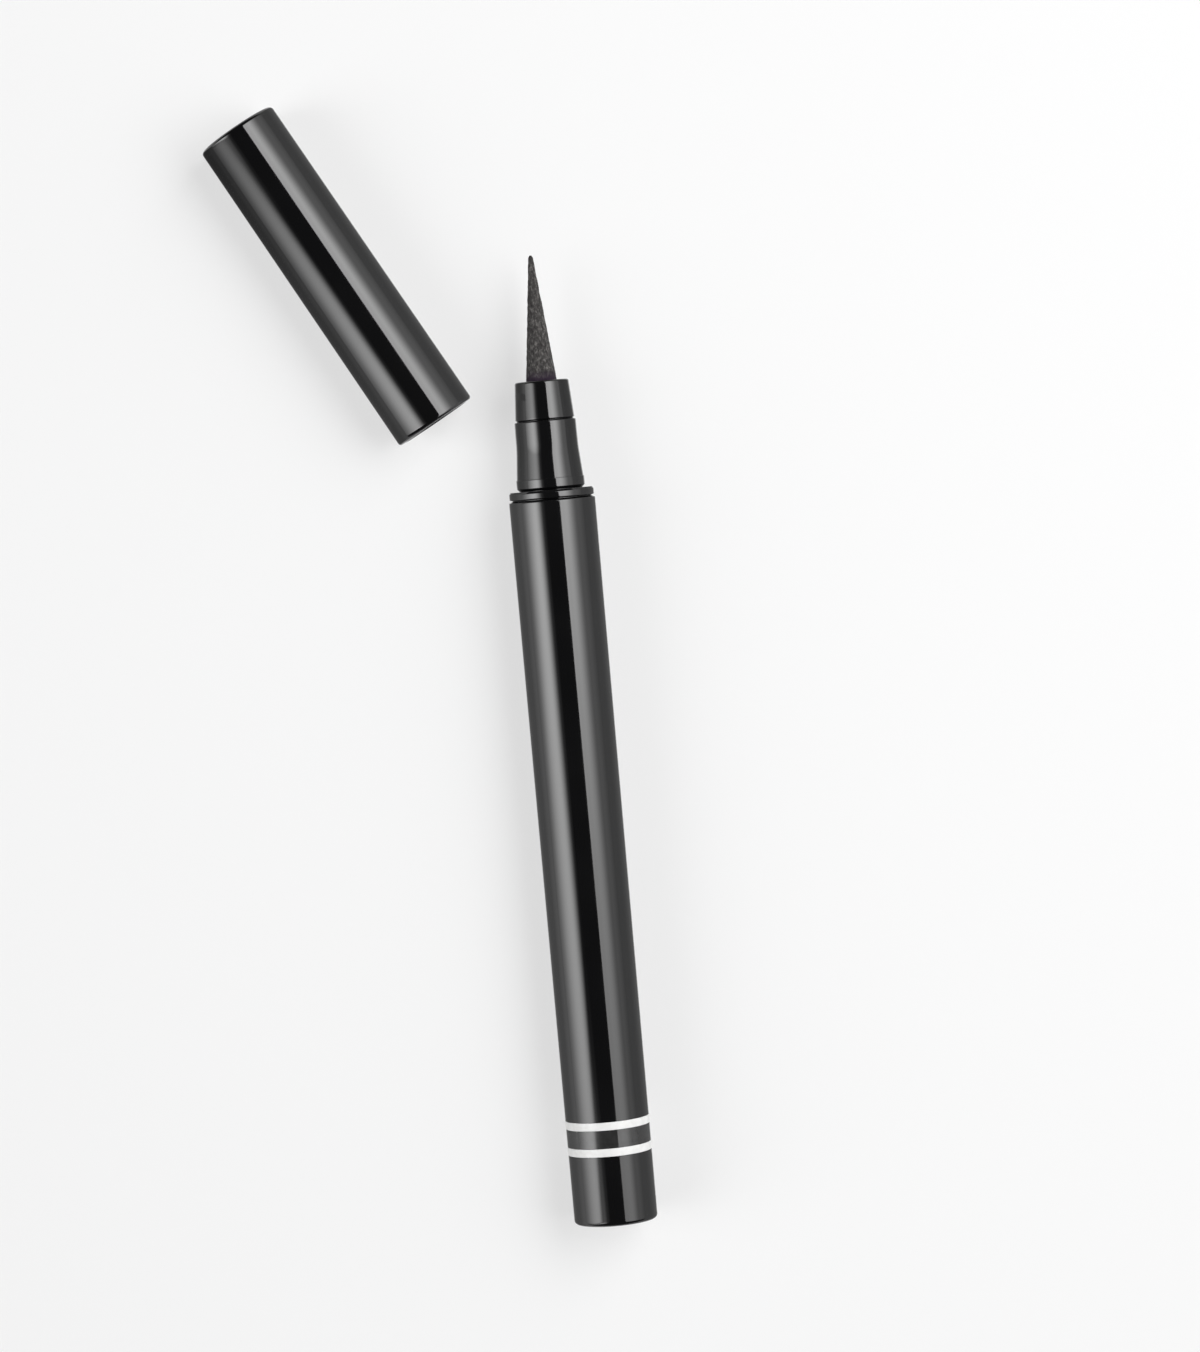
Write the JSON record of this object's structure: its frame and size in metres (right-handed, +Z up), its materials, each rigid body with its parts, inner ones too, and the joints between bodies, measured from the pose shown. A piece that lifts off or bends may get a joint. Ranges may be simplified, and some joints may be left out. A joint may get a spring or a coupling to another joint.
{
  "type": "liquid eyeliner pen",
  "caption": "Slim black liquid eyeliner pen with a stepped neck, conical felt nib and white bands, lying beside its push-on cap; ink reaches the nib through a finned feed.",
  "frame": {"origin": "middle of the pen's flat tail face, on the pen's axis", "axes": "+Y along the pen from tail to nib, +Z up from the surface that pen and cap lie on, +X to the right, away from the cap"},
  "size_m": [0.0441, 0.14, 0.0106],
  "materials": {
    "black_gloss": "polished black moulding",
    "white_print": "printed white film",
    "felt": "dry inked felt",
    "fibre": "bonded fibre",
    "seal_rubber": "moulded",
    "ball_steel": "ground",
    "tank_plastic": "natural polypropylene",
    "feed_plastic": "moulded",
    "liner_plastic": "moulded"
  },
  "bodies": {
    "pen": {"barrel": "black_gloss", "lower_band": "white_print", "upper_band": "white_print", "tail_plug": "black_gloss", "ink_tank": "tank_plastic", "tank_seal": "seal_rubber", "collector": "feed_plastic", "wick": "fibre", "collar_ring": "black_gloss", "section": "black_gloss", "nozzle": "black_gloss", "nib": "felt"},
    "stirrer": {"mixing_ball": "ball_steel"},
    "cap": {"cap_shell": "black_gloss", "inner_cap": "liner_plastic"}
  },
  "joints": [
    {"name": "cap_draw", "type": "slide", "parent": "pen", "child": "stirrer", "axis": [0, -1, 0], "range_m": [0, 0.04066]},
    {"name": "cap_swing", "type": "hinge", "parent": "stirrer", "child": "cap", "pos_m": [0.05333, 0.0899, 0], "axis": [0, 0, -1], "range_deg": [0, 29.2]}
  ]
}
